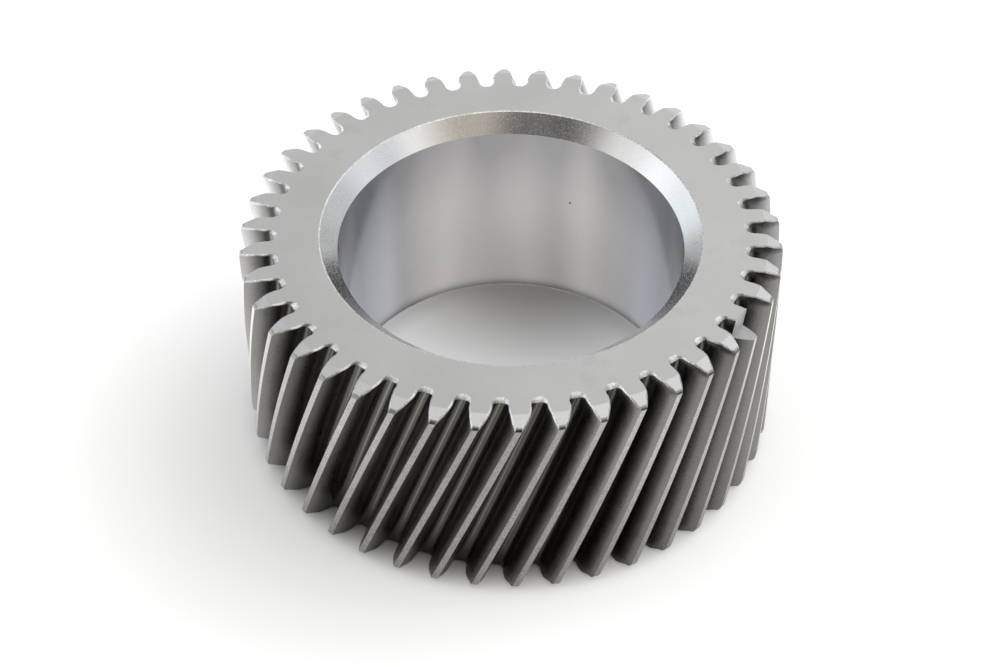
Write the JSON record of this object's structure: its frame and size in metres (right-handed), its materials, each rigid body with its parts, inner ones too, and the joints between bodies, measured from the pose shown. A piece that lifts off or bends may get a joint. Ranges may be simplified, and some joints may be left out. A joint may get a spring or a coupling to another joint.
{
  "type": "crankshaft gear",
  "caption": "Steel right-hand helical ring gear with a plain press-fit bore, a wide bore chamfer at one end and one tooth stepped as a timing mark.",
  "frame": {"origin": "centre of the plain end face, on the bore axis", "axes": "+Z along the bore axis towards the chamfered end; -Y is the side nearest the viewer in the picture"},
  "size_m": [0.142, 0.142, 0.061],
  "materials": {
    "gear_steel": "satin ground end faces and bore, darker hobbed flanks, bright breaks on the edges"
  },
  "bodies": {
    "root": {"crankshaft_gear": "gear_steel"}
  },
  "joints": []
}
